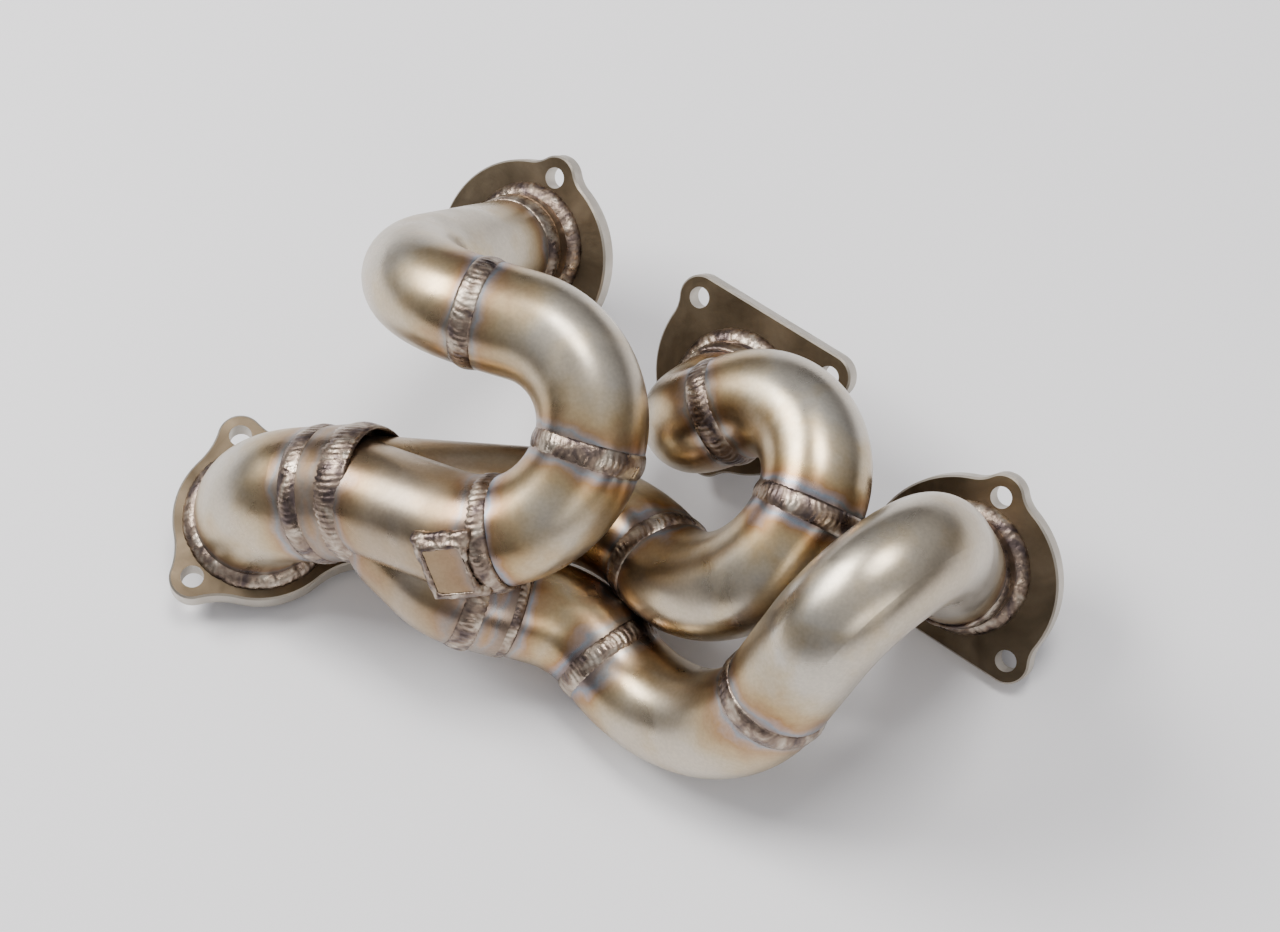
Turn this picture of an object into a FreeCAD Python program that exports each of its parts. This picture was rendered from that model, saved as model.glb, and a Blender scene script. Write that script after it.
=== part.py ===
import FreeCAD, Part
import math
import os

from FreeCAD import Vector

# A welded three-into-one exhaust manifold, lying as it rests on a bench.
# Millimetres, +Z up, the bench is the plane Z = 0, +X runs from the outlet towards the ports.
# A heading is (azimuth, elevation) in degrees: azimuth 0 is +X, 90 is +Y, elevation is above the bench.

# Cylinder head side
PORT_NORMAL = (-131.5, 43.4)
PORT_ROW = (-45.3, -4.0)
PORT_PITCH = 118.0
FIRST_FLANGE = (-41.7, 104.6, 44.1)
MIDDLE_FLANGE_SLIP = -2.6
MIDDLE_FLANGE_RISE = 15.6

# Port flange plates
PLATE_THICKNESS = 8.0
BOLT_CIRCLE = 76.0
BOLT_HOLE = 9.0
EAR_RADIUS = 9.5
LOBE_RADIUS = 41.5
EAR_FILLET = 14.0
FIRST_EAR_ANGLE = 94.0
# How far each bore sits below the centre of its plate
BORE_DROP = {1: -5.0, 2: 9.0, 3: -5.0}
BOLT_CLEARANCE = 12.0
EDGE_BREAK = 0.8

# Tubes
TUBE_OD = 42.4
TUBE_WALL = 1.65
STUB_OD = 46.0
STUB_LENGTH = {1: 10.0, 2: 6.0, 3: 10.0}
BRANCH_OD = 45.0
SLEEVE_LENGTH = 15.0

# Outlet
OUTLET_OD = 54.0
OUTLET_CENTRE = (-157.5, -1.5, 22.3)
OUTLET_NORMAL = (-51.8, 75.7)
OUTLET_BEND = 44.0
OUTLET_LEAD = 2.0
OUTLET_TAIL = 10.0
OUTLET_PLATE = 10.0
OUTLET_BOLT_CIRCLE = 75.0
OUTLET_BOLT_HOLE = 9.5
OUTLET_EAR_RADIUS = 9.5
OUTLET_LOBE_RADIUS = 36.0
OUTLET_EAR_FILLET = 32.0
OUTLET_EAR_ANGLE = 101.0
NECK_HEADING = (-18.4, 21.9)
NECK_LENGTH = 18.0
NECK_WIDE_RADIUS = 27.5

# Welds
SEAM_WIDTH = 8.0
SEAM_HEIGHT = 1.5
HEAVY_SEAM_WIDTH = 11.0
BEAD_ROOT = 1.2
FILLET_LEG = 4.5

# Runner routes: a straight, then the bend radius and the heading after the bend
RUNNER_1_LEAD = ((-127.9, 41.9), 67.7)
RUNNER_1_RETURN = (41.5, (-25.8, 0.4))
RUNNER_1_MIDDLE_STRAIGHT = 17.7
RUNNER_1_MIDDLE = (37.6, (-117.1, -33.3))
RUNNER_1_LAST_BEND = (44.3, (169.4, -18.3))
RUNNER_2_LEAD = ((-139.7, 18.5), 9.5)
RUNNER_2_FLANGE_BEND = (24.0, (-3.1, 33.1))
RUNNER_2_UPPER_STRAIGHT = 3.3
RUNNER_2_UPPER = (33.0, (-123.6, -25.5))
RUNNER_2_LOWER = (43.8, (113.3, -14.4))
RUNNER_2_LAST_RADIUS = 50.0
RUNNER_3_LEAD = ((-123.5, 66.2), 59.1)
RUNNER_3_FLANGE_BEND = (32.4, (-162.6, -61.0))
RUNNER_3_LONG_STRAIGHT = 36.8
RUNNER_3_LOWER = (57.3, (121.8, 14.4))
RUNNER_3_LAST_BEND = (42.0, (168.0, 22.0))
RUNNER_3_LAST_STRAIGHT = 15.0
BRANCH_RADIUS = {1: 50.0, 3: 28.0}

# Where each branch's centreline meets the neck, off the neck's axis: towards the front, and up
BRANCH_OFFSETS = {1: (2.7, 3.5), 2: (-3.0, -5.5), 3: (3.5, -5.5)}

# Filler plate on the first branch: along it, around it, and how far its faces stand from the axis
FILLER_LENGTH = 15.0
FILLER_WIDTH = 20.0
FILLER_TOP = 22.9
FILLER_WELD = 5.0
FILLER_WELD_TOP = 23.8
FILLER_ALONG = 12.0
FILLER_FACING = (-85.0, 28.0)

PARTS = "parts"


def heading(angles):
    """Unit vector of an azimuth and an elevation in degrees."""
    azimuth = math.radians(angles[0])
    elevation = math.radians(angles[1])
    flat = math.cos(elevation)
    return Vector(flat * math.cos(azimuth), flat * math.sin(azimuth), math.sin(elevation))


def unit(vector):
    result = Vector(vector)
    result.normalize()
    return result


def across(vector, axis):
    """The unit part of a vector that is square to an axis."""
    return unit(vector - axis * vector.dot(axis))


class Route:
    """A tube centreline: straights and tangent bends laid end to end."""

    def __init__(self, start, direction):
        self.point = Vector(start)
        self.direction = unit(direction)
        self.runs = []

    def straight(self, length):
        if length > 0.01:
            self.runs.append(("straight", self.point, self.direction, length))
            self.point = self.point + self.direction * length
        return self

    def turn(self, radius, inward, angle):
        """Bend by an angle in radians, towards a unit vector square to the direction."""
        centre = self.point + inward * radius
        axis = self.direction.cross(inward)
        self.runs.append(("bend", self.point, self.direction, centre, axis, math.degrees(angle)))
        ahead = self.direction
        self.direction = ahead * math.cos(angle) + inward * math.sin(angle)
        self.point = centre - inward * (radius * math.cos(angle)) + ahead * (radius * math.sin(angle))
        return self

    def bend(self, radius, angles):
        """Bend to a heading."""
        new = heading(angles)
        inward = across(new, self.direction)
        return self.turn(radius, inward, math.acos(self.direction.dot(new)))

    def aim(self, radius, target):
        """Bend until the tube points straight at a target."""
        reach = target - self.point
        inward = across(reach, self.direction)
        along = reach.dot(self.direction)
        side = radius - reach.dot(inward)
        angle = math.atan2(along, side) - math.acos(radius / math.hypot(along, side))
        return self.turn(radius, inward, angle)

    def take(self):
        """Hand over the runs laid so far and start a new piece from here."""
        runs = self.runs
        self.runs = []
        return runs


def ring_face(point, direction, outer, inner):
    disc = Part.Face(Part.Wire([Part.makeCircle(outer, point, direction)]))
    if inner <= 0:
        return disc
    hole = Part.Face(Part.Wire([Part.makeCircle(inner, point, direction)]))
    return disc.cut(hole).Faces[0]


def tube(runs, outer, inner=0.0):
    """Tube along the runs; with no inner radius it is the filled outside shape."""
    pieces = []
    for run in runs:
        face = ring_face(run[1], run[2], outer, inner)
        if run[0] == "straight":
            pieces.append(face.extrude(run[2] * run[3]))
        else:
            pieces.append(face.revolve(run[3], run[4], run[5]))
    solid = pieces[0]
    if len(pieces) > 1:
        solid = solid.multiFuse(pieces[1:]).removeSplitter()
    return solid.Solids[0]


def half_space(point, direction, size=260.0):
    """A large block that ends on a plane and lies against the plane's direction."""
    block = Part.makeBox(size, size, size, Vector(-size / 2, -size / 2, -size))
    turn = FreeCAD.Rotation(Vector(0, 0, 1), direction)
    block.Placement = FreeCAD.Placement(point, turn)
    return block


def ring_bead(point, direction, radius, width, height):
    """Weld bead around a tube: a low crown of a given width and height above a radius, with a root below it."""
    section = (width * width / 4 + height * height) / (2 * height)
    torus = Part.makeTorus(radius + height - section, section, point, direction)
    core = Part.makeCylinder(radius - BEAD_ROOT, 2 * section, point - direction * section, direction)
    return torus.cut(core)


def fillet_bead(point, direction, radius, leg):
    """Fillet weld in the corner between a plate and a collar."""
    return Part.makeCone(radius + leg, radius + 0.4, leg, point, direction)


def cut_all(solid, cutters):
    for cutter in cutters:
        solid = solid.cut(cutter)
    return max(solid.Solids, key=lambda piece: piece.Volume)


def three_ears(first_angle, bolt_circle):
    """Angle and reach of three bolt ears, evenly spaced round a bolt circle."""
    return [(math.radians(first_angle + 120 * i), bolt_circle / 2) for i in range(3)]


def bolt_bores(ears, diameter):
    return [(math.cos(a) * reach, math.sin(a) * reach, diameter / 2) for a, reach in ears]


def ear_outline(lobe, ears, ear_radius, fillet, straight_after=None):
    """Flat outline of a lobe with round ears at three angles.

    The side after ear number straight_after runs straight from ear to ear; the other sides
    leave each ear through a concave arc and follow the lobe.
    """
    centres = [Vector(math.cos(a), math.sin(a), 0) * r for a, r in ears]

    def saddle(ear, side):
        """Centre of the concave arc on one side of an ear, side +1 being counterclockwise."""
        far = ear.Length
        to_lobe = lobe + fillet
        to_ear = ear_radius + fillet
        swing = math.acos((to_lobe**2 + far**2 - to_ear**2) / (2 * to_lobe * far))
        angle = math.atan2(ear.y, ear.x) + side * swing
        return Vector(math.cos(angle), math.sin(angle), 0) * to_lobe

    def arc(centre, radius, start, end, clockwise=False):
        a = math.atan2(start.y - centre.y, start.x - centre.x)
        b = math.atan2(end.y - centre.y, end.x - centre.x)
        if clockwise and b > a:
            b -= 2 * math.pi
        if not clockwise and b < a:
            b += 2 * math.pi
        half = (a + b) / 2
        middle = centre + Vector(math.cos(half), math.sin(half), 0) * radius
        return Part.Arc(start, middle, end).toShape()

    edges = []
    entries = []
    exits = []
    count = len(centres)
    for i, ear in enumerate(centres):
        following = centres[(i + 1) % count]
        previous = centres[i - 1]
        if i == straight_after:
            way = unit(following - ear)
            exits.append(ear + Vector(way.y, -way.x, 0) * ear_radius)
        else:
            exits.append(ear + unit(saddle(ear, 1) - ear) * ear_radius)
        if (i - 1) % count == straight_after:
            way = unit(ear - previous)
            entries.append(ear + Vector(way.y, -way.x, 0) * ear_radius)
        else:
            entries.append(ear + unit(saddle(ear, -1) - ear) * ear_radius)
    for i, ear in enumerate(centres):
        j = (i + 1) % count
        edges.append(arc(ear, ear_radius, entries[i], exits[i]))
        if i == straight_after:
            edges.append(Part.makeLine(exits[i], entries[j]))
            continue
        leave = saddle(ear, 1)
        arrive = saddle(centres[j], -1)
        on_lobe = unit(leave) * lobe
        off_lobe = unit(arrive) * lobe
        edges.append(arc(leave, fillet, exits[i], on_lobe, clockwise=True))
        edges.append(arc(Vector(0, 0, 0), lobe, on_lobe, off_lobe))
        edges.append(arc(arrive, fillet, off_lobe, entries[j], clockwise=True))
    return Part.Wire(edges)


def plate(outline, thickness, bores):
    """Flange plate with its weld face at Z = 0 and its mating face below, edges broken."""
    body = Part.Face(outline).extrude(Vector(0, 0, -thickness))
    rim = [e for e in body.Edges if abs(e.BoundBox.ZMax - e.BoundBox.ZMin) < 0.01]
    body = body.makeChamfer(EDGE_BREAK, rim)
    for x, y, radius in bores:
        body = body.cut(Part.makeCylinder(radius, thickness + 2, Vector(x, y, -thickness - 1)))
    return body.Solids[0]


def placed(solid, origin, normal, along):
    """Move a flat part so that its Z becomes the normal and its X follows along."""
    x = across(along, normal)
    y = normal.cross(x)
    rows = (
        (x.x, y.x, normal.x, origin.x),
        (x.y, y.y, normal.y, origin.y),
        (x.z, y.z, normal.z, origin.z),
        (0, 0, 0, 1),
    )
    moved = solid.copy()
    moved.Placement = FreeCAD.Placement(FreeCAD.Matrix(*[value for line in rows for value in line]))
    return moved


OUTER = TUBE_OD / 2
INNER = OUTER - TUBE_WALL
BRANCH_OUTER = BRANCH_OD / 2
BRANCH_INNER = BRANCH_OUTER - TUBE_WALL
STUB_OUTER = STUB_OD / 2
OUTLET_OUTER = OUTLET_OD / 2
OUTLET_INNER = OUTLET_OUTER - TUBE_WALL

parts = {}
normal = heading(PORT_NORMAL)
row = across(heading(PORT_ROW), normal)
down = row.cross(normal)
numbers = (1, 2, 3)


# Port flanges. The middle one is the same plate turned half round, with its bore farther off centre.

first = Vector(*FIRST_FLANGE)
flange_centres = {
    1: first,
    2: first + row * (PORT_PITCH + MIDDLE_FLANGE_SLIP) - down * MIDDLE_FLANGE_RISE,
    3: first + row * (2 * PORT_PITCH),
}
flange_along = {1: row, 2: row * -1, 3: row}
ports = {i: flange_centres[i] + down * BORE_DROP[i] for i in numbers}
port_ears = three_ears(FIRST_EAR_ANGLE, BOLT_CIRCLE)


def port_flange(bore_y):
    outline = ear_outline(LOBE_RADIUS, port_ears, EAR_RADIUS, EAR_FILLET, straight_after=1)
    return plate(outline, PLATE_THICKNESS, bolt_bores(port_ears, BOLT_HOLE) + [(0, bore_y, INNER)])


for i in numbers:
    bore_y = BORE_DROP[i] if i == 2 else -BORE_DROP[i]
    parts[f"port_flange_{i}"] = placed(port_flange(bore_y), flange_centres[i], normal, flange_along[i])


# Port stubs, with the fillet weld that holds each to its flange

stub_solid = {}
stub_end = {}
fillets = []
for i in numbers:
    stub_runs = [("straight", ports[i], normal, STUB_LENGTH[i])]
    stub_solid[i] = tube(stub_runs, STUB_OUTER)
    stub_end[i] = ports[i] + normal * STUB_LENGTH[i]
    parts[f"port_stub_{i}"] = tube(stub_runs, STUB_OUTER, INNER)
    fillet = cut_all(fillet_bead(ports[i], normal, STUB_OUTER, FILLET_LEG), [stub_solid[i]])
    for x, y, radius in bolt_bores(port_ears, BOLT_CLEARANCE):
        clear = Part.makeCylinder(radius, FILLET_LEG + 2, Vector(x, y, -1))
        fillet = fillet.cut(placed(clear, flange_centres[i], normal, flange_along[i]))
    parts[f"port_flange_weld_{i}"] = fillet.Solids[0]
    fillets.append(fillet)


# Outlet: flange, elbow and neck, laid from the flange inwards

outlet_normal = heading(OUTLET_NORMAL)
neck_direction = heading(NECK_HEADING)
outlet_centre = Vector(*OUTLET_CENTRE)
outlet_route = Route(outlet_centre, outlet_normal)
outlet_route.straight(OUTLET_LEAD).bend(OUTLET_BEND, NECK_HEADING).straight(OUTLET_TAIL)
outlet_runs = outlet_route.take()
neck_start = outlet_route.point
neck_end = neck_start + neck_direction * NECK_LENGTH


def outlet_flange():
    ears = three_ears(OUTLET_EAR_ANGLE, OUTLET_BOLT_CIRCLE)
    outline = ear_outline(OUTLET_LOBE_RADIUS, ears, OUTLET_EAR_RADIUS, OUTLET_EAR_FILLET)
    return plate(outline, OUTLET_PLATE, bolt_bores(ears, OUTLET_BOLT_HOLE) + [(0, 0, OUTLET_INNER)])


outlet_elbow_solid = tube(outlet_runs, OUTLET_OUTER)
neck_solid = Part.makeCone(OUTLET_OUTER, NECK_WIDE_RADIUS, NECK_LENGTH, neck_start, neck_direction)
neck_bore = Part.makeCone(
    OUTLET_INNER, NECK_WIDE_RADIUS - TUBE_WALL, NECK_LENGTH, neck_start, neck_direction
)
parts["outlet_flange"] = placed(outlet_flange(), outlet_centre, outlet_normal, Vector(1, 0, 0))
parts["outlet_elbow"] = tube(outlet_runs, OUTLET_OUTER, OUTLET_INNER)
parts["collector_neck"] = neck_solid.cut(neck_bore).Solids[0]


# Runners, laid from the flange outwards: each lead starts inside its stub and is trimmed to its end

neck_front = across(Vector(0, -1, 0), neck_direction)
neck_up = neck_direction.cross(neck_front)
if neck_up.z < 0:
    neck_up = neck_up * -1
aims = {i: neck_end + neck_front * BRANCH_OFFSETS[i][0] + neck_up * BRANCH_OFFSETS[i][1] for i in numbers}


def lead(i, angles, length):
    """Start a runner at the end of its stub, reaching back into the stub for trimming."""
    direction = heading(angles)
    back = direction * (STUB_OUTER / 2)
    route = Route(stub_end[i] - back, direction)
    return route.straight(length + back.Length)


pieces = {}
welds = {}

route = lead(1, *RUNNER_1_LEAD).bend(*RUNNER_1_RETURN)
pieces["runner_1_return_bend"] = route.take()
welds["runner_1_weld_1"] = (route.point, route.direction)
route.straight(RUNNER_1_MIDDLE_STRAIGHT).bend(*RUNNER_1_MIDDLE)
pieces["runner_1_middle_elbow"] = route.take()
welds["runner_1_weld_2"] = (route.point, route.direction)
route.bend(*RUNNER_1_LAST_BEND)
pieces["runner_1_collector_elbow"] = route.take()
branch_start = {1: (route.point, route.direction)}

route = lead(2, *RUNNER_2_LEAD).bend(*RUNNER_2_FLANGE_BEND)
pieces["runner_2_flange_elbow"] = route.take()
welds["runner_2_weld_1"] = (route.point, route.direction)
route.straight(RUNNER_2_UPPER_STRAIGHT).bend(*RUNNER_2_UPPER)
pieces["runner_2_upper_elbow"] = route.take()
welds["runner_2_weld_2"] = (route.point, route.direction)
route.bend(*RUNNER_2_LOWER)
pieces["runner_2_lower_elbow"] = route.take()
welds["runner_2_weld_3"] = (route.point, route.direction)
route.aim(RUNNER_2_LAST_RADIUS, aims[2])
pieces["runner_2_collector_tube"] = route.take()
branch_start[2] = (route.point, route.direction)

route = lead(3, *RUNNER_3_LEAD).bend(*RUNNER_3_FLANGE_BEND).straight(RUNNER_3_LONG_STRAIGHT)
pieces["runner_3_flange_bend"] = route.take()
welds["runner_3_weld_1"] = (route.point, route.direction)
route.bend(*RUNNER_3_LOWER)
pieces["runner_3_lower_elbow"] = route.take()
welds["runner_3_weld_2"] = (route.point, route.direction)
route.bend(*RUNNER_3_LAST_BEND).straight(RUNNER_3_LAST_STRAIGHT)
pieces["runner_3_collector_tube"] = route.take()
welds["runner_3_weld_3"] = (route.point, route.direction)
route.straight(SLEEVE_LENGTH)
sleeve_runs = route.take()
branch_start[3] = (route.point, route.direction)

solids = {name: tube(runs, OUTER) for name, runs in pieces.items()}
for name, runs in pieces.items():
    number = int(name.split("_")[1])
    hollow = tube(runs, OUTER, INNER)
    behind = [half_space(stub_end[number], normal)] if "flange" in name or "return" in name else []
    parts[name] = cut_all(hollow, behind)
    solids[name] = cut_all(solids[name], behind)


# Collector branches: each is trimmed by the ones before it and by the neck

branch_runs = {}
for i in numbers:
    route = Route(*branch_start[i])
    if i in BRANCH_RADIUS:
        route.aim(BRANCH_RADIUS[i], aims[i])
    route.straight((aims[i] - route.point).Length + NECK_LENGTH / 2)
    branch_runs[i] = route.take()
sleeve_solid = tube(sleeve_runs, BRANCH_OUTER)
parts["runner_3_sleeve"] = tube(sleeve_runs, BRANCH_OUTER, BRANCH_INNER)
neck_side = half_space(neck_end, neck_direction)
branch_solids = {i: cut_all(tube(branch_runs[i], BRANCH_OUTER), [neck_side]) for i in numbers}
for i in numbers:
    cutters = [neck_side] + [branch_solids[j] for j in numbers if j < i]
    parts[f"collector_branch_{i}"] = cut_all(tube(branch_runs[i], BRANCH_OUTER, BRANCH_INNER), cutters)


# Filler plate and its weld, which stand on the outside of the first branch

branch_point, branch_direction = branch_start[1]
filler_out = across(heading(FILLER_FACING), branch_direction)


def filler_block(length, width, top, slope=0.0):
    """A block from the branch's axis outwards, centred on the filler plate, with sloped top edges."""
    block = Part.makeBox(length, width, top, Vector(-length / 2, -width / 2, 0))
    if slope:
        block = block.makeChamfer(slope, [edge for edge in block.Edges if edge.BoundBox.ZMin > top - 0.01])
    return placed(block, branch_point + branch_direction * FILLER_ALONG, filler_out, branch_direction)


around = [branch_solids[i] for i in numbers] + [sleeve_solid] + list(solids.values())
filler = filler_block(FILLER_LENGTH, FILLER_WIDTH, FILLER_TOP)
filler_weld = filler_block(
    FILLER_LENGTH + 2 * FILLER_WELD, FILLER_WIDTH + 2 * FILLER_WELD, FILLER_WELD_TOP, FILLER_WELD * 0.8
)
filler_hole = filler_block(FILLER_LENGTH, FILLER_WIDTH, FILLER_WELD_TOP + 1)
parts["filler_plate"] = cut_all(filler, around)
parts["filler_weld"] = cut_all(filler_weld.cut(filler_hole), around)


# Seam welds

everything = list(solids.values()) + list(branch_solids.values()) + list(stub_solid.values())
everything += [sleeve_solid, outlet_elbow_solid, neck_solid] + fillets


def add_bead(name, point, direction, radius, width):
    bead = ring_bead(point, direction, radius, width, SEAM_HEIGHT)
    near = [solid for solid in everything if solid.BoundBox.intersect(bead.BoundBox)]
    parts[name] = cut_all(bead, near)


for name, (point, direction) in welds.items():
    add_bead(name, point, direction, OUTER, SEAM_WIDTH)
for i in numbers:
    add_bead(f"port_stub_weld_{i}", stub_end[i], normal, OUTER + 1, HEAVY_SEAM_WIDTH)
    add_bead(f"collector_weld_{i}", *branch_start[i], BRANCH_OUTER, SEAM_WIDTH)
add_bead("neck_weld_outer", neck_start, neck_direction, OUTLET_OUTER, SEAM_WIDTH)
add_bead("neck_weld_inner", neck_end, neck_direction, NECK_WIDE_RADIUS, HEAVY_SEAM_WIDTH)
outlet_fillet = fillet_bead(outlet_centre, outlet_normal, OUTLET_OUTER, FILLET_LEG)
parts["outlet_flange_weld"] = cut_all(outlet_fillet, [outlet_elbow_solid])


# Stand the whole part on the bench, centred on the origin, and write it out

box = FreeCAD.BoundBox()
for solid in parts.values():
    box.add(solid.optimalBoundingBox(False))
shift = Vector(-box.Center.x, -box.Center.y, -box.ZMin)
print("size", [round(side, 1) for side in (box.XLength, box.YLength, box.ZLength)])
print("shift", [round(value, 3) for value in shift])
print("port axis", [round(value, 5) for value in normal * -1])
print("outlet axis", [round(value, 5) for value in outlet_normal * -1])
for i in numbers:
    print("port", i, [round(value, 3) for value in ports[i] + shift])
    print("plate", i, [round(value, 3) for value in flange_centres[i] + shift])
print("outlet", [round(value, 3) for value in outlet_centre + shift])
os.makedirs(PARTS, exist_ok=True)
for name, solid in parts.items():
    solid.translate(shift)
    if not solid.isValid():
        print("not valid:", name)
    solid.exportStep(os.path.join(PARTS, name + ".step"))
print(len(parts), "parts")
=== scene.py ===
import math

import bmesh
import bpy
from mathutils import Matrix, Vector, noise


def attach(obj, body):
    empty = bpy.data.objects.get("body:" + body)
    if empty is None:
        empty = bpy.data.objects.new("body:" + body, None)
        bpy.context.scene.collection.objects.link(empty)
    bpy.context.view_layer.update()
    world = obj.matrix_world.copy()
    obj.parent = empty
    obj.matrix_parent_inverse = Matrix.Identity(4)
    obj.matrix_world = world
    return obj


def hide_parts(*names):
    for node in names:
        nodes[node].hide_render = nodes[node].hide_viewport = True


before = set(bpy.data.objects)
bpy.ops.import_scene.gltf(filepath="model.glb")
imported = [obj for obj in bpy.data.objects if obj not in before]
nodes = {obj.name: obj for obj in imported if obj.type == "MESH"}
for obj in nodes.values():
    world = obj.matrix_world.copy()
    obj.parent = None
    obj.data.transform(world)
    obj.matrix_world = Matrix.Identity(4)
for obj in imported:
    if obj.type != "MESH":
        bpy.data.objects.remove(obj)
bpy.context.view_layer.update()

# Looks of a welded tubular exhaust manifold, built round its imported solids. Metres, +Z up.

MM = 0.001

# Camera: where it stands, and its right, up and backward directions
CAMERA_PLACE = (0.0176, -0.5220, 0.8704)
CAMERA_RIGHT = (0.9959, -0.0771, -0.0482)
CAMERA_UP = (0.0909, 0.8442, 0.5283)
CAMERA_BACK = (0.0, -0.5305, 0.8477)
CAMERA_LENS = 67.5

# Weld beads
RIPPLE_PITCH = 2.4 * MM
STEPS_PER_RIPPLE = 6
RIPPLE_DEPTH = 0.26 * MM
BEAD_WANDER = 0.5 * MM
BEAD_ROOT = 0.9 * MM
CROWN_POINTS = 9
CROWN_HEIGHT = 0.62
CROWN_SPREAD = 1.12

# Weld round the filler plate
LUMP_GRAIN = 0.7 * MM
LUMP_SMOOTHING = 14
LUMP_DEPTH = 0.7 * MM

# Heat tint beside a seam: distance from the seam in mm, and the colour of the steel there
TINT_REACH = 40.0
TINT = (
    (0.0, (0.13, 0.10, 0.085)),
    (4.5, (0.22, 0.17, 0.16)),
    (6.2, (0.22, 0.25, 0.29)),
    (7.4, (0.34, 0.25, 0.22)),
    (10.0, (0.34, 0.20, 0.095)),
    (15.0, (0.43, 0.31, 0.165)),
    (26.0, (0.50, 0.42, 0.30)),
    (40.0, (0.52, 0.475, 0.40)),
)
STRAW = (0.50, 0.40, 0.27)
SCORCHED = (0.24, 0.165, 0.105)

# How far the steel is scorched all over, by the start of a node's name
DARKEN = {"collector": 0.55, "port": 0.6, "runner_3_sleeve": 0.35, "filler": 0.7}

# Lights: name, place, the point it faces, size, power and colour
LIGHTS = (
    ("window", (-1.1, 0.6, 1.5), (0, 0, 0.05), (1.0, 0.8), 40.0, (1.0, 0.99, 0.97)),
    ("ceiling", (0.3, 0.2, 1.9), (0, 0, 0.05), (0.7, 0.5), 20.0, (1.0, 0.98, 0.96)),
    ("front_fill", (0.6, -1.6, 0.9), (0, 0, 0.08), (1.2, 0.4), 6.0, (1.0, 0.96, 0.90)),
)
FLOOR_HALF = 6.0
SKY_LOW = (0.07, 0.055, 0.045, 1)
SKY_HIGH = (0.86, 0.88, 0.93, 1)
SKY_STRENGTH = 0.75


# Seams, found from the solids of the weld nodes

AXIS_GUESS = (0.31, 0.52, 0.79)
AXIS_ROUNDS = 60


def seam_of(name):
    """Centre, axis, inner radius, outer radius and half width of a round weld node."""
    points = [vertex.co.copy() for vertex in nodes[name].data.vertices]
    mean = sum(points, Vector()) / len(points)
    spread = Matrix(((0, 0, 0),) * 3)
    for point in points:
        offset = point - mean
        for i in range(3):
            for j in range(3):
                spread[i][j] += offset[i] * offset[j]
    # the axis is the direction of least spread: repeated products with the inverse settle on it
    inverse = (spread * (1.0 / len(points))).inverted()
    axis = Vector(AXIS_GUESS)
    for _ in range(AXIS_ROUNDS):
        axis = (inverse @ axis).normalized()
    side = axis.orthogonal().normalized()
    other = axis.cross(side)
    # least-squares circle through the points, seen along the axis
    rows = Matrix(((0, 0, 0),) * 3)
    right = Vector()
    for point in points:
        x = (point - mean).dot(side)
        y = (point - mean).dot(other)
        line = (x, y, 1.0)
        for i in range(3):
            right[i] += line[i] * (x * x + y * y)
            for j in range(3):
                rows[i][j] += line[i] * line[j]
    twice_x, twice_y, _ = rows.inverted() @ right
    heights = [(point - mean).dot(axis) for point in points]
    middle = (min(heights) + max(heights)) / 2
    centre = mean + side * twice_x / 2 + other * twice_y / 2 + axis * middle
    reaches = [((point - centre) - axis * (point - centre).dot(axis)).length for point in points]
    return {
        "centre": centre,
        "axis": axis,
        "inner": min(reaches),
        "outer": max(reaches),
        "half": (max(heights) - min(heights)) / 2,
    }


fillet_names = [name for name in nodes if "flange_weld" in name]
ring_names = [name for name in nodes if "_weld" in name and name not in fillet_names + ["filler_weld"]]
seams = {name: seam_of(name) for name in ring_names + fillet_names}


# Materials


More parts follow.
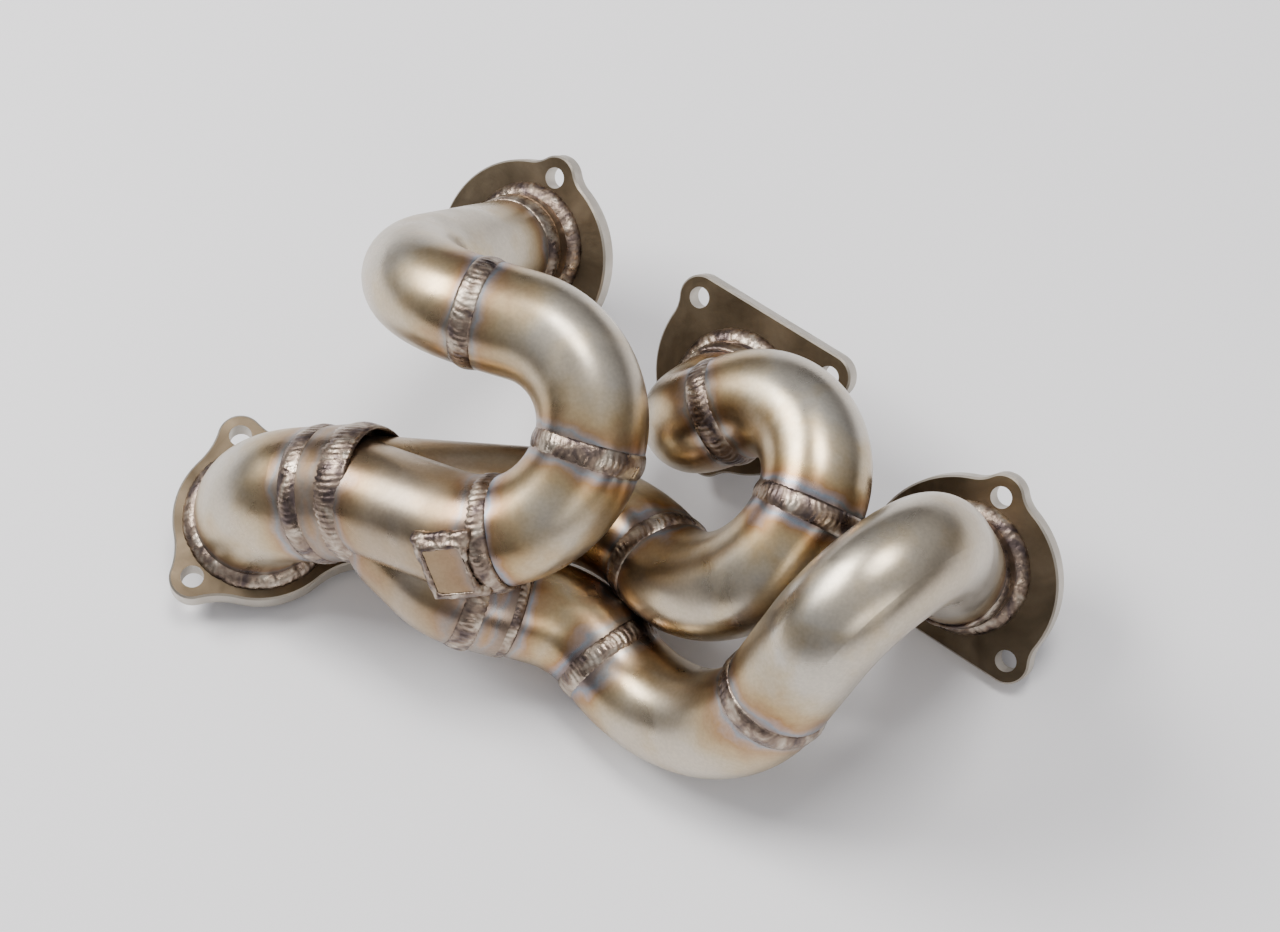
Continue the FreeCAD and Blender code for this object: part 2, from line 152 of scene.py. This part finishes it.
class Shader:
    """A node material being wired: short calls that add a node and join its inputs."""

    def __init__(self, name):
        self.material = bpy.data.materials.new(name)
        self.material.use_nodes = True
        self.tree = self.material.node_tree
        self.surface = self.tree.nodes["Principled BSDF"]
        self.place = self.node("ShaderNodeTexCoord").outputs["Object"]

    def node(self, kind, **settings):
        made = self.tree.nodes.new(kind)
        for key, value in settings.items():
            setattr(made, key, value)
        return made

    def feed(self, socket, value):
        if hasattr(value, "links"):
            self.tree.links.new(value, socket)
        else:
            socket.default_value = value

    def math(self, operation, first, second=0.0, clamp=False):
        made = self.node("ShaderNodeMath", operation=operation, use_clamp=clamp)
        self.feed(made.inputs[0], first)
        self.feed(made.inputs[1], second)
        return made.outputs[0]

    def vector(self, operation, first, second, output="Vector"):
        made = self.node("ShaderNodeVectorMath", operation=operation)
        self.feed(made.inputs[0], first)
        self.feed(made.inputs[1], second)
        return made.outputs[output]

    def noise(self, scale, detail=4.0, distortion=0.0):
        made = self.node("ShaderNodeTexNoise")
        self.feed(made.inputs["Vector"], self.place)
        made.inputs["Scale"].default_value = scale
        made.inputs["Detail"].default_value = detail
        made.inputs["Distortion"].default_value = distortion
        return made.outputs["Fac"]

    def range(self, value, low, high, to_low=0.0, to_high=1.0):
        made = self.node("ShaderNodeMapRange")
        self.feed(made.inputs["Value"], value)
        for key, number in zip(("From Min", "From Max", "To Min", "To Max"), (low, high, to_low, to_high)):
            made.inputs[key].default_value = number
        return made.outputs["Result"]

    def mix(self, factor, first, second, blend="MIX"):
        made = self.node("ShaderNodeMix", data_type="RGBA", blend_type=blend)
        self.feed(made.inputs[0], factor)
        self.feed(made.inputs[6], first if hasattr(first, "links") else (*first, 1.0))
        self.feed(made.inputs[7], second if hasattr(second, "links") else (*second, 1.0))
        return made.outputs[2]

    def ramp(self, value, stops):
        made = self.node("ShaderNodeValToRGB")
        self.feed(made.inputs[0], value)
        elements = made.color_ramp.elements
        while len(elements) < len(stops):
            elements.new(0.5)
        for element, (where, colour) in zip(elements, stops):
            element.position = where
            element.color = (*colour, 1.0)
        return made.outputs[0]

    def bump(self, height, strength, distance):
        made = self.node("ShaderNodeBump")
        made.inputs["Strength"].default_value = strength
        made.inputs["Distance"].default_value = distance
        self.feed(made.inputs["Height"], height)
        self.feed(self.surface.inputs["Normal"], made.outputs[0])

    def from_seam(self, seam):
        """Distance in metres from a seam's circle on the tube."""
        offset = self.vector("SUBTRACT", self.place, seam["centre"])
        along = self.vector("DOT_PRODUCT", offset, seam["axis"], "Value")
        flat = self.vector("SUBTRACT", offset, self.vector("MULTIPLY", self.spread(along), seam["axis"]))
        out = self.math("SUBTRACT", self.vector("LENGTH", flat, (0, 0, 0), "Value"), seam["inner"])
        square = self.math("ADD", self.math("MULTIPLY", along, along), self.math("MULTIPLY", out, out))
        return self.math("SQRT", square)

    def spread(self, value):
        made = self.node("ShaderNodeCombineXYZ")
        for socket in made.inputs:
            self.feed(socket, value)
        return made.outputs[0]


def near_seams(node, limit=3):
    """The seams closest to a node's own vertices."""
    points = [vertex.co for vertex in node.data.vertices]
    gaps = []
    for name, seam in seams.items():
        nearest = 1.0
        for point in points:
            offset = point - seam["centre"]
            along = offset.dot(seam["axis"])
            out = (offset - seam["axis"] * along).length - seam["inner"]
            nearest = min(nearest, math.hypot(along, out))
        gaps.append((nearest, name))
    return [seams[name] for gap, name in sorted(gaps)[:limit] if gap < TINT_REACH * MM]


def tinted_steel(name, node, darken):
    """Satin stainless steel with heat colours beside the seams; darken browns it all over."""
    shader = Shader(name)
    nearest = TINT_REACH * MM
    for seam in near_seams(node):
        nearest = shader.math("MINIMUM", shader.from_seam(seam), nearest)
    wander = shader.range(shader.noise(55.0, 3.0), 0.3, 0.7, 0.65, 1.5)
    wandering = shader.math("MULTIPLY", nearest, wander)
    reach = shader.math("DIVIDE", wandering, TINT_REACH * MM, clamp=True)
    tint = shader.ramp(reach, [(gap / TINT_REACH, colour) for gap, colour in TINT])
    straw = shader.range(shader.noise(14.0, 3.0, 0.6), 0.42, 0.68, 0.0, 0.55)
    warm = shader.mix(straw, tint, STRAW)
    brown = shader.mix(darken, warm, SCORCHED)
    speck = shader.range(shader.noise(700.0, 3.0), 0.35, 0.65, 0.93, 1.04)
    specked = shader.mix(1.0, brown, shader.spread(speck), "MULTIPLY")
    shader.feed(shader.surface.inputs["Base Color"], specked)
    shader.surface.inputs["Metallic"].default_value = 1.0
    rough = shader.range(shader.noise(38.0, 5.0, 0.8), 0.3, 0.7, 0.24, 0.40)
    shader.feed(shader.surface.inputs["Roughness"], rough)
    shader.bump(shader.noise(420.0, 5.0), 0.05, 0.0004)
    return shader.material


def plate_steel_edge_highlight(name, axis):
    """Heat-browned plate with a painted highlight: its edges, cut square to the plate's axis, are painted
    bright.
    """
    shader = Shader(name)
    outward = shader.node("ShaderNodeNewGeometry").outputs["Normal"]
    facing = shader.vector("DOT_PRODUCT", outward, axis, "Value")
    # painted highlight: sides whose normals lie square to the plate's axis get bright silver, and the
    # faces keep the heat-brown tone
    face_not_edge_highlight = shader.range(shader.math("ABSOLUTE", facing), 0.55, 0.9)
    blotch = shader.range(shader.noise(40.0, 5.0, 0.7), 0.35, 0.68)
    browned = shader.mix(blotch, (0.085, 0.063, 0.04), (0.175, 0.135, 0.09))
    edge_highlight = shader.mix(shader.noise(130.0, 3.0), (0.42, 0.38, 0.32), (0.60, 0.56, 0.50))
    shader.feed(shader.surface.inputs["Base Color"], shader.mix(face_not_edge_highlight, edge_highlight, browned))
    shader.surface.inputs["Metallic"].default_value = 1.0
    rough = shader.range(shader.noise(70.0, 5.0), 0.3, 0.7, 0.40, 0.60)
    shader.feed(shader.surface.inputs["Roughness"], rough)
    shader.bump(shader.noise(420.0, 5.0), 0.2, 0.0005)
    return shader.material


def weld_metal():
    """Rippled weld metal: bright silver and brown patches."""
    shader = Shader("weld_metal")
    patch = shader.range(shader.noise(110.0, 4.0, 0.8), 0.36, 0.66)
    stops = ((0.0, (0.10, 0.075, 0.07)), (0.5, (0.26, 0.195, 0.15)), (1.0, (0.50, 0.43, 0.35)))
    tones = shader.ramp(patch, stops)
    shader.feed(shader.surface.inputs["Base Color"], tones)
    shader.surface.inputs["Metallic"].default_value = 1.0
    rough = shader.range(shader.noise(240.0, 4.0), 0.3, 0.7, 0.22, 0.48)
    shader.feed(shader.surface.inputs["Roughness"], rough)
    shader.bump(shader.noise(750.0, 4.0), 0.35, 0.0006)
    return shader.material


# Weld beads


def bead(name, seam, section):
    """Lay a rippled bead round a seam.

    The section is a closed loop of (radius, height along the axis) pairs; the first and last
    lie under the surface and stay put.
    """
    turns = 2 * math.pi * seam["inner"]
    ripples = max(12, round(turns / RIPPLE_PITCH))
    side = seam["axis"].orthogonal().normalized()
    form = bmesh.new()
    corners = []
    for radius, height in section:
        corners.append(form.verts.new(seam["centre"] + side * radius + seam["axis"] * height))
    edges = [form.edges.new((corners[i - 1], corners[i])) for i in range(len(corners))]
    bmesh.ops.spin(
        form,
        geom=corners + edges,
        cent=seam["centre"],
        axis=seam["axis"],
        angle=2 * math.pi,
        steps=ripples * STEPS_PER_RIPPLE,
        use_merge=True,
    )
    bmesh.ops.remove_doubles(form, verts=form.verts, dist=1e-6)
    other = seam["axis"].cross(side)
    low = min(radius for radius, _ in section)
    half = max(abs(height) for _, height in section)
    for vertex in form.verts:
        offset = vertex.co - seam["centre"]
        height = offset.dot(seam["axis"])
        flat = offset - seam["axis"] * height
        proud = flat.length - low - BEAD_ROOT
        if proud < 0:
            continue
        angle = math.atan2(flat.dot(other), flat.dot(side))
        chevron = 0.9 * (height / half) ** 2
        phase = (angle / (2 * math.pi) * ripples + chevron) % 1.0
        crest = 1.0 - abs(2 * phase - 1) ** 1.5
        fade = min(1.0, proud / (0.6 * MM))
        lump = noise.noise(vertex.co / (5 * MM))
        outward = flat.normalized()
        vertex.co += outward * fade * ((crest - 0.6) * RIPPLE_DEPTH + lump * BEAD_WANDER * 0.6)
        vertex.co += seam["axis"] * noise.noise(outward * 9.0 + seam["centre"] * 50) * BEAD_WANDER * fade
    bmesh.ops.recalc_face_normals(form, faces=form.faces)
    mesh = bpy.data.meshes.new(name)
    form.to_mesh(mesh)
    form.free()
    mesh.shade_smooth()
    piece = bpy.data.objects.new(name, mesh)
    bpy.context.scene.collection.objects.link(piece)
    return piece


def crown_section(seam):
    """Low crown over a butt seam."""
    half = seam["half"] * CROWN_SPREAD
    height = (seam["outer"] - seam["inner"]) * CROWN_HEIGHT
    section = [(seam["inner"] - BEAD_ROOT, -half * 0.9)]
    for i in range(CROWN_POINTS):
        across = -1 + 2 * i / (CROWN_POINTS - 1)
        section.append((seam["inner"] + height * (1 - across * across), half * across))
    section.append((seam["inner"] - BEAD_ROOT, half * 0.9))
    return section


def fillet_section(seam, up):
    """Rounded fillet in the corner between a plate and a tube; up is the side the tube leaves on."""
    leg = seam["half"] * 2
    floor = -seam["half"] * up
    root = seam["inner"] - BEAD_ROOT
    section = [(root, floor + up * leg), (root, floor - up * BEAD_ROOT)]
    for i in range(CROWN_POINTS):
        turn = math.pi / 2 * i / (CROWN_POINTS - 1)
        reach = 1.0 - 0.10 * math.sin(2 * turn)
        radius = seam["inner"] + leg * math.cos(turn) * reach
        section.append((radius, floor + up * leg * math.sin(turn) * reach))
    return section


weld = weld_metal()


def lay_bead(name, section):
    piece = bead(name + "_bead", seams[name], section)
    piece.data.materials.append(weld)
    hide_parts(name)
    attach(piece, "root")


for name in ring_names:
    lay_bead(name, crown_section(seams[name]))
for name in fillet_names:
    seam = seams[name]
    reaches = []
    for vertex in nodes[name].data.vertices:
        offset = vertex.co - seam["centre"]
        height = offset.dot(seam["axis"])
        reaches.append(((offset - seam["axis"] * height).length, height))
    widest = max(reaches)
    lay_bead(name, fillet_section(seam, 1 if widest[1] < 0 else -1))


def lumpy_weld(name):
    """A round-edged, lumpy copy of a weld node's solid."""
    mesh = nodes[name].data.copy()
    form = bmesh.new()
    form.from_mesh(mesh)
    bmesh.ops.remove_doubles(form, verts=form.verts, dist=1e-6)
    form.to_mesh(mesh)
    form.free()
    mesh.materials.clear()
    rough = bpy.data.objects.new(name + "_rough", mesh)
    bpy.context.scene.collection.objects.link(rough)
    grain = rough.modifiers.new("grain", "REMESH")
    grain.mode = "VOXEL"
    grain.voxel_size = LUMP_GRAIN
    rounding = rough.modifiers.new("rounding", "SMOOTH")
    rounding.factor = 0.5
    rounding.iterations = LUMP_SMOOTHING
    shown = rough.evaluated_get(bpy.context.evaluated_depsgraph_get())
    lumps = bpy.data.meshes.new_from_object(shown)
    bpy.data.objects.remove(rough)
    form = bmesh.new()
    form.from_mesh(lumps)
    form.normal_update()
    for vertex in form.verts:
        coarse = noise.noise(vertex.co / (3.2 * MM))
        fine = noise.noise(vertex.co / (1.3 * MM))
        vertex.co += vertex.normal * (coarse + 0.4 * fine) * LUMP_DEPTH
    form.to_mesh(lumps)
    form.free()
    lumps.shade_smooth()
    lumps.materials.append(weld)
    piece = bpy.data.objects.new(name + "_bead", lumps)
    bpy.context.scene.collection.objects.link(piece)
    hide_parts(name)
    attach(piece, "root")


lumpy_weld("filler_weld")


# Finish of the nodes that show their own solids


def finish(node, material):
    node.data.materials.clear()
    node.data.materials.append(material)


for name, node in nodes.items():
    if name in seams or name == "filler_weld":
        continue
    if name.startswith("port_flange") or name == "outlet_flange":
        fillet = name.replace("flange", "flange_weld")
        finish(node, plate_steel_edge_highlight(name + "_steel", seams[fillet]["axis"]))
    else:
        darken = next((value for key, value in DARKEN.items() if name.startswith(key)), 0.0)
        finish(node, tinted_steel(name + "_steel", node, darken))


# Floor, light and camera


def floor():
    form = bmesh.new()
    bmesh.ops.create_grid(form, x_segments=1, y_segments=1, size=FLOOR_HALF)
    mesh = bpy.data.meshes.new("floor")
    form.to_mesh(mesh)
    form.free()
    ground = bpy.data.objects.new("floor", mesh)
    bpy.context.scene.collection.objects.link(ground)
    shader = Shader("bench_white")
    shade = shader.mix(shader.noise(3.0, 2.0), (0.86, 0.85, 0.87), (0.90, 0.89, 0.905))
    shader.feed(shader.surface.inputs["Base Color"], shade)
    shader.surface.inputs["Roughness"].default_value = 0.75
    mesh.materials.append(shader.material)


def soft_light(name, place, target, size, power, colour):
    lamp = bpy.data.lights.new(name, "AREA")
    lamp.shape = "RECTANGLE"
    lamp.size = size[0]
    lamp.size_y = size[1]
    lamp.energy = power
    lamp.color = colour
    thing = bpy.data.objects.new(name, lamp)
    thing.location = place
    thing.rotation_euler = (Vector(target) - Vector(place)).to_track_quat("-Z", "Y").to_euler()
    bpy.context.scene.collection.objects.link(thing)


def surroundings():
    world = bpy.data.worlds.new("studio")
    bpy.context.scene.world = world
    world.use_nodes = True
    tree = world.node_tree
    back = tree.nodes["Background"]
    place = tree.nodes.new("ShaderNodeTexCoord")
    split = tree.nodes.new("ShaderNodeSeparateXYZ")
    ramp = tree.nodes.new("ShaderNodeValToRGB")
    tree.links.new(place.outputs["Generated"], split.inputs[0])
    tree.links.new(split.outputs["Z"], ramp.inputs[0])
    tree.links.new(ramp.outputs[0], back.inputs["Color"])
    stops = ramp.color_ramp.elements
    stops[0].position = 0.0
    stops[0].color = SKY_LOW
    stops[1].position = 0.75
    stops[1].color = SKY_HIGH
    back.inputs["Strength"].default_value = SKY_STRENGTH


def camera():
    lens = bpy.data.cameras.new("camera")
    lens.lens = CAMERA_LENS
    lens.sensor_width = 36.0
    lens.clip_start = 0.01
    body = bpy.data.objects.new("camera", lens)
    turned = Matrix((CAMERA_RIGHT, CAMERA_UP, CAMERA_BACK)).transposed().to_4x4()
    body.matrix_world = Matrix.Translation(CAMERA_PLACE) @ turned
    bpy.context.scene.collection.objects.link(body)
    bpy.context.scene.camera = body


floor()
for light in LIGHTS:
    soft_light(*light)
surroundings()
camera()
